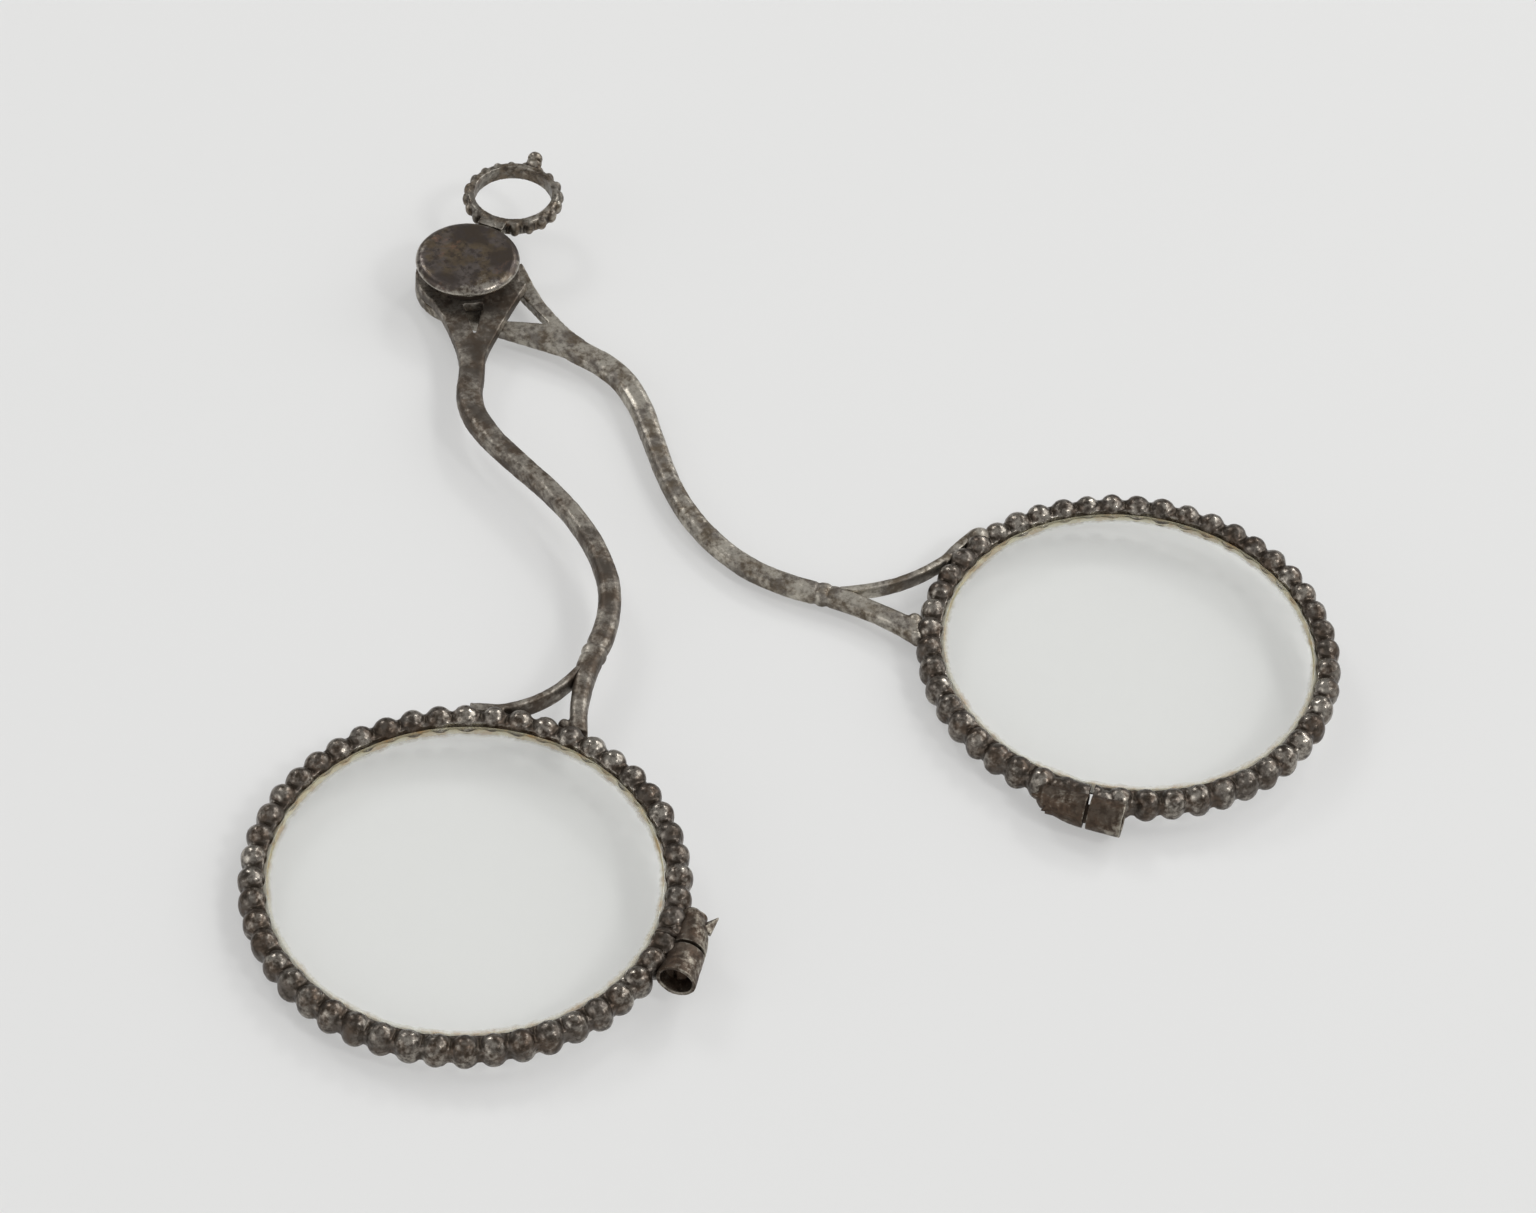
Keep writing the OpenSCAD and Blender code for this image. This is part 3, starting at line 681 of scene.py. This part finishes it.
# Beaded rims, split at one place.
rimSize = {
    "inner": 19.95, "outer": 21.9, "half": 1.05, "round": 0.5,
    "roundAt": (0, 0.4, 0.8, 1.2, math.pi / 2), "segments": 192,
    "beads": 48, "beadRadius": 1.45, "beadStretch": 0.44, "beadRing": 21.09,
    "seed": {"left": 4, "right": 9},
    "slotAngle": 112.0, "slotRadius": 20.5, "slot": (6, 0.42, 6),
    "solder": {  # angle, radius, height, half sizes
        "left": [
            (104.5, 21.7, 0, (1.0, 1.0, 1.35)), (109, 21.9, 0, (1.0, 1.0, 1.4)),
            (115, 21.9, 0, (1.0, 1.0, 1.4)),
        ],
        "right": [
            (102.6, 21.4, 0.02, (1.4, 1.4, 1.76)), (104.8, 21.35, 0.08, (1.6, 1.6, 1.85)),
            (107.0, 21.35, 0.1, (1.6, 1.65, 1.85)), (109.4, 21.4, 0.08, (1.6, 1.7, 1.85)),
            (115.5, 21.6, 0, (1.4, 1.6, 1.85)),
        ],
    },
    "forging": {
        "voxel": 0.15, "smoothing": 1, "waveSize": 1.9, "waveDepth": 0.16, "pitSize": 0.55,
        "pitDepth": 0.05, "wearSpread": 12, "wearDepth": 0.09,
    },
}


def makeRim(side):
    rim = lathe(side + "RimForged", bandProfile(rimSize), rimSize["segments"])
    addBeads(rim, rimSize, rimSize["seed"][side])
    for angle, radius, height, size in rimSize["solder"][side]:
        addBlob(rim, onRim(angle, radius, height), size)
    # the slot that the closing screw draws together
    slot = makeBox("slotCutter", (rimSize["slotRadius"], 0, 0), rimSize["slot"])
    slot.data.transform(Matrix.Rotation(math.radians(90 + rimSize["slotAngle"]), 4, "Z"))
    forge(rim, "beadedIron", rimSize["forging"], slot)
    rim.data.transform(halves[side]["rimPlace"])
    dress(rim, halves[side]["body"], "rim_iron", side + "_rim")


for side in halves:
    makeRim(side)


# Lenses, hollow on both faces, with a thin edge in the rim's groove.
lensSize = {
    "edgeRadius": 20.3, "edgeHalf": 0.12, "landRadius": 19.6, "middle": 1.2, "edge": 1.6,
    "steps": 14, "segments": 128, "sharpAngle": 25,
    # where the edge grime and its painted sheen begin on each lens, in mm
    "grimeAndSheenFrom": {"left": 18.9, "right": 19.15},
}


def makeLens(side):
    land, middle = lensSize["landRadius"], lensSize["middle"]
    sag = (lensSize["edge"] - middle) / 2
    curve = (land ** 2 + sag ** 2) / (2 * sag)
    face = [(0.0, middle / 2)]
    for k in range(1, lensSize["steps"] + 1):
        x = land * k / lensSize["steps"]
        face.append((x, middle / 2 + curve - math.sqrt(curve ** 2 - x ** 2)))
    face.append((lensSize["edgeRadius"], lensSize["edgeHalf"]))
    profile = [(x, -z) for x, z in face] + face[::-1]
    lens = lathe(side + "LensGround", profile, lensSize["segments"])
    work = bmesh.new()
    work.from_mesh(lens.data)
    bmesh.ops.dissolve_degenerate(work, edges=work.edges, dist=samePoint["turned"])
    work.to_mesh(lens.data)
    work.free()
    edge = lens.data.attributes.new("lensEdge", "FLOAT", "POINT")
    start = lensSize["grimeAndSheenFrom"][side]
    for point, value in zip(lens.data.vertices, edge.data):
        reach = math.hypot(point.co.x, point.co.y) / mm
        value.value = max(0.0, (reach - start) / (land - start))
    for face in lens.data.polygons:
        face.use_smooth = True
    lens.data.set_sharp_from_angle(angle=math.radians(lensSize["sharpAngle"]))
    lens.data.materials.append(glass)
    lens.data.transform(halves[side]["rimPlace"])
    dress(lens, halves[side]["body"], "lens_glass", side + "_lens")


for side in halves:
    makeLens(side)


# Arms and braces, with solder and hammered ends where they meet the rims:
# angle on the rim, radius, height, half sizes in mm.
armShape = {
    "left": {
        "finish": "handledIron", "forging": {"waveDepth": 0.18, "smoothing": 4},
        "lumps": [(26.4, 22.6, 0.1, (0.75, 0.85, 1.1))],
        # between the straps, in the arm's own plan
        "window": [(-1.8, -5.0), (0.55, -5.0), (-0.55, -9.0), (-1.0, -9.0)],
    },
    "right": {
        "finish": "rubbedIron", "forging": {"waveDepth": 0.20, "smoothing": 4},
        "lumps": [(26.8, 22.8, 0.0, (0.9, 1.0, 1.0)), (32.6, 22.4, 0.0, (0.75, 0.8, 1.0))],
    },
    "windowLow": -2, "windowHigh": 8,
}
headFiling = {"leftFrom": 2.2, "rightTo": 2.15, "runOut": (11, 16, 18), "drop": 0.15}  # in mm
braceShape = {
    "left": [(2.0, 22.0, 0.0, (1.1, 0.7, 1.1))],
    "right": [(-9.6, 21.9, 0.2, (1.5, 1.35, 1.55))],
    "forging": {"voxel": 0.11, "waveSize": 2.2, "waveDepth": 0.12, "smoothing": 5},
}


def addLumps(piece, side, lumps):
    for angle, radius, height, size in lumps:
        addBlob(piece, halves[side]["rimPlace"] @ onRim(angle, radius, height), size)


def fileHead(arm, side):
    # flat where the two heads slide on each other, and the right one
    # down to its bar where it runs out into it
    starts, deepest, ends = headFiling["runOut"]
    for point in arm.data.vertices:
        if side == "left":
            point.co.z = max(point.co.z, headFiling["leftFrom"] * mm)
        else:
            reach = point.co.xy.length / mm
            falling = (reach - starts) / (deepest - starts)
            rising = (ends - reach) / (ends - deepest)
            share = max(0.0, min(1.0, falling, rising))
            top = headFiling["rightTo"] - headFiling["drop"] * share
            point.co.z = min(point.co.z, top * mm)


def makeArm(side):
    look = armShape[side]
    arm = copyOf(side + "_arm", side + "ArmForged")
    addLumps(arm, side, look["lumps"])
    window = None
    if "window" in look:
        window = makePrism("windowCutter", look["window"], armShape["windowLow"], armShape["windowHigh"])
        window.data.transform(leftPlace)
    forge(arm, look["finish"], look["forging"], window)
    fileHead(arm, side)
    dress(arm, halves[side]["body"], "arm_iron", side + "_arm")


def makeBrace(side):
    brace = copyOf(side + "_brace", side + "BraceForged")
    addLumps(brace, side, braceShape[side])
    forge(brace, armShape[side]["finish"], braceShape["forging"])
    dress(brace, halves[side]["body"], "arm_iron", side + "_brace")


# Closing barrels, rolled from sheet: the closed end hammered down against the rim
# and torn, the open end widened into a thin lip.
barrelShape = {  # in mm
    "axisRadius": 23.1, "angle": 110.0, "half": 4.6,
    "closedFrom": 0.2, "closedPower": 1.5, "pinch": 0.42, "flatten": 0.30,
    "bend": {"left": 1.0, "right": 0.8},
    "lipFrom": 1.6, "lip": {"left": 0.15, "right": 0.03}, "shorter": {"left": 0.10, "right": 0.0},
    "slip": {"left": 0.4, "right": 0.0}, "out": {"left": 0.45, "right": 0.0},
    "up": {"left": 0.0, "right": 0.35},
    "burrs": {  # root and tip of torn sheet metal
        "left": [((-20.5, -96.1, 4.3), (-18.75, -95.55, 4.8))],
        "right": [
            ((20.6, -94.9, 0.5), (19.2, -94.6, 0.3)), ((20.2, -93.6, 0.9), (18.9, -92.9, 1.2)),
        ],
    },
    "burrRoot": 0.85, "burrTip": 0.06, "burrSides": 5,
    "forging": {
        "voxel": 0.08, "waveSize": 1.8, "waveDepth": 0.14, "smoothing": 3, "wearSpread": 8,
        "wearDepth": 0.03,
    },
}


def reshapeBarrel(piece, side, part):
    s = barrelShape
    axis = halves[side]["rimPlace"] @ Matrix.Rotation(math.radians(90 + s["angle"]), 4, "Z")
    axis = axis @ Matrix.Translation((s["axisRadius"] * mm, 0, 0))
    back = axis.inverted()
    for point in piece.data.vertices:
        x, y, z = back @ point.co / mm
        if part == "closed_knuckle":
            share = (s["closedFrom"] - y) / (s["half"] + s["closedFrom"])
            share = min(1.0, max(0.0, share)) ** s["closedPower"]
            x = x * (1 - s["pinch"] * share) - s["bend"][side] * share
            z = z * (1 - s["flatten"] * share)
        else:
            share = max(0.0, (y - s["lipFrom"]) / (s["half"] - s["lipFrom"]))
            x, z = x * (1 + s["lip"][side] * share), z * (1 + s["lip"][side] * share)
        y = y * (1 - s["shorter"][side] * (y < 0)) + s["slip"][side]
        point.co = axis @ (Vector((x + s["out"][side], y, z + s["up"][side])) * mm)


def addBurr(piece, root, tip):
    way = Vector(tip) - Vector(root)
    turn = way.to_track_quat("Z", "Y").to_matrix().to_4x4()
    work = bmesh.new()
    work.from_mesh(piece.data)
    bmesh.ops.create_cone(
        work, cap_ends=True, segments=barrelShape["burrSides"], depth=way.length * mm,
        radius1=barrelShape["burrRoot"] * mm, radius2=barrelShape["burrTip"] * mm,
        matrix=Matrix.Translation((Vector(root) + way / 2) * mm) @ turn)
    work.to_mesh(piece.data)
    work.free()


def makeBarrel(side, part):
    barrel = copyOf(side + "_" + part, side + part.title().replace("_", "") + "Rolled")
    cut = barrel.modifiers.new("fine", "SUBSURF")
    cut.subdivision_type = "SIMPLE"
    cut.levels = cut.render_levels = 1
    settle(barrel)
    reshapeBarrel(barrel, side, part)
    if part == "closed_knuckle":
        for root, tip in barrelShape["burrs"][side]:
            addBurr(barrel, root, tip)
    forge(barrel, "barrelIron", barrelShape["forging"])
    dress(barrel, halves[side]["body"], "rim_iron", side + "_" + part)


for side in halves:
    makeArm(side)
    makeBrace(side)
    for part in ("open_knuckle", "closed_knuckle"):
        makeBarrel(side, part)


# Hub.
capSize = {
    "bottom": 5.35, "thick": 0.95, "radius": 5.85, "edgeWide": 1.0, "edgeDeep": 0.72,
    "edgeAt": (0, 0.26, 0.52, 0.79, 1.05, 1.31, math.pi / 2), "chamfer": 0.12,
    "bore": 1.5, "boreDeep": 0.5, "segments": 128,
    "forging": {
        "voxel": 0.10, "waveSize": 4.0, "waveDepth": 0.08, "pitDepth": 0.012, "smoothing": 3,
        "wearSpread": 14, "wearDepth": 0.045,
    },
}
baseForging = {"voxel": 0.12, "waveSize": 4.0, "waveDepth": 0.10, "smoothing": 3, "wearDepth": 0.04}


def makeCap():
    s = capSize
    edge = []
    for a in s["edgeAt"]:
        edge.append((
            s["radius"] - s["edgeWide"] * (1 - math.sin(a)),
            s["thick"] - s["edgeDeep"] * (1 - math.cos(a)),
        ))
    cap = lathe("hubCapFiled", [(0, s["boreDeep"]), (0, s["thick"])] + edge + [
        (s["radius"], s["chamfer"]), (s["radius"] - s["chamfer"], 0),
        (s["bore"], 0), (s["bore"], s["boreDeep"]),
    ], s["segments"])
    cap.data.transform(Matrix.Translation((0, 0, s["bottom"] * mm)))
    forge(cap, "hubIron", s["forging"])
    dress(cap, "hub", "hub_iron", "hub_cap")


def makeBase():
    base = copyOf("hub_base", "hubBaseFiled")
    forge(base, "hubIron", baseForging)
    dress(base, "hub", "hub_iron", "hub_base")


makeCap()
makeBase()


# Suspension ring: a ribbed band with a neck to the cap and a stem under its ball.
ringSize = {
    "angle": 39, "offset": 12.12, "middle": 5.0,
    "inner": 4.42, "outer": 5.24, "half": 0.92, "round": 0.3,
    "roundAt": (0, 0.5, 1.05, math.pi / 2), "segments": 96,
    "beads": 20, "beadRing": 5.16, "beadRadius": 0.62, "beadStretch": 0.38, "seed": 6,
    "ribTurn": 9,  # so that a gap between two ribs faces the cap, in degrees
    "stem": (5.75, 0, 0.75), "stemSize": (0.75, 0.9, 0.8),
    "neck": (-5.5, 0, 0.72), "neckSize": (1.6, 3.0, 0.6),
    "forging": {"voxel": 0.08, "waveSize": 1.6, "waveDepth": 0.08, "smoothing": 1, "wearDepth": 0.035},
}
ballForging = {"voxel": 0.08, "waveSize": 1.0, "waveDepth": 0.08, "smoothing": 3}


def makeRing():
    s = ringSize
    ring = lathe("suspensionRingFiled", bandProfile(s), s["segments"])
    addBeads(ring, s, s["seed"])
    settle(ring)
    ring.data.transform(Matrix.Rotation(math.radians(s["ribTurn"]), 4, "Z"))
    addBlob(ring, Vector(s["stem"]) * mm, s["stemSize"])
    neck = makeBox("ringNeck", s["neck"], s["neckSize"])
    work = bmesh.new()
    work.from_mesh(ring.data)
    work.from_mesh(neck.data)
    work.to_mesh(ring.data)
    work.free()
    bpy.data.objects.remove(neck)
    place = Matrix.Translation((s["offset"] * mm, 0, s["middle"] * mm))
    ring.data.transform(Matrix.Rotation(math.radians(s["angle"]), 4, "Z") @ place)
    forge(ring, "ringIron", s["forging"])
    dress(ring, "hub", "hub_iron", "suspension_ring")


def makeBall():
    ball = copyOf("ring_ball", "ringBallFiled")
    forge(ball, "ringIron", ballForging)
    dress(ball, "hub", "hub_iron", "ring_ball")


makeRing()
makeBall()


# Pieces whose CAD shape is right get only their finish.
plainFinishes = {
    "pivot_rivet": "hubIron", "upper_washer": "hubIron", "lower_washer": "hubIron",
    "left_closing_screw": "barrelIron", "right_closing_screw": "barrelIron",
}
for name, finish in plainFinishes.items():
    cadNodes[name].data.materials.clear()
    cadNodes[name].data.materials.append(iron[finish])
print("plain pieces finished")
